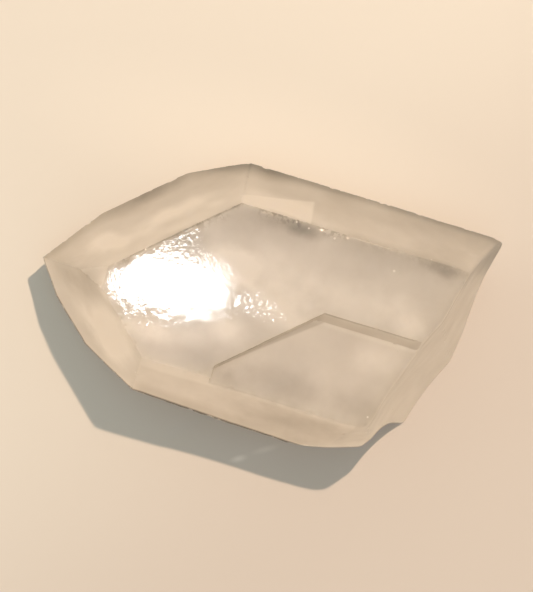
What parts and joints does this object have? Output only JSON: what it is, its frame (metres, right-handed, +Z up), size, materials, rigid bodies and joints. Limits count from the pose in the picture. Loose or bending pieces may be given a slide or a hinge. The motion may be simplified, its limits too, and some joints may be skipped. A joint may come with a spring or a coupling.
{
  "type": "quartz crystal",
  "caption": "Flat translucent milky quartz crystal with one faceted point, a lower growth level in its top face and a snapped-off end.",
  "frame": {"origin": "on the face that the crystal lies on, under the middle of its bounding box", "axes": "+X along the crystal's long axis to its point, +Y across the flat crystal to the side with the lower growth level, +Z up from the face it lies on"},
  "size_m": [0.0446, 0.026, 0.0128],
  "materials": {
    "quartz": "satin, cloudy translucent, with naturally frosted growth faces"
  },
  "bodies": {
    "root": {"quartz_crystal": "quartz"}
  },
  "joints": []
}
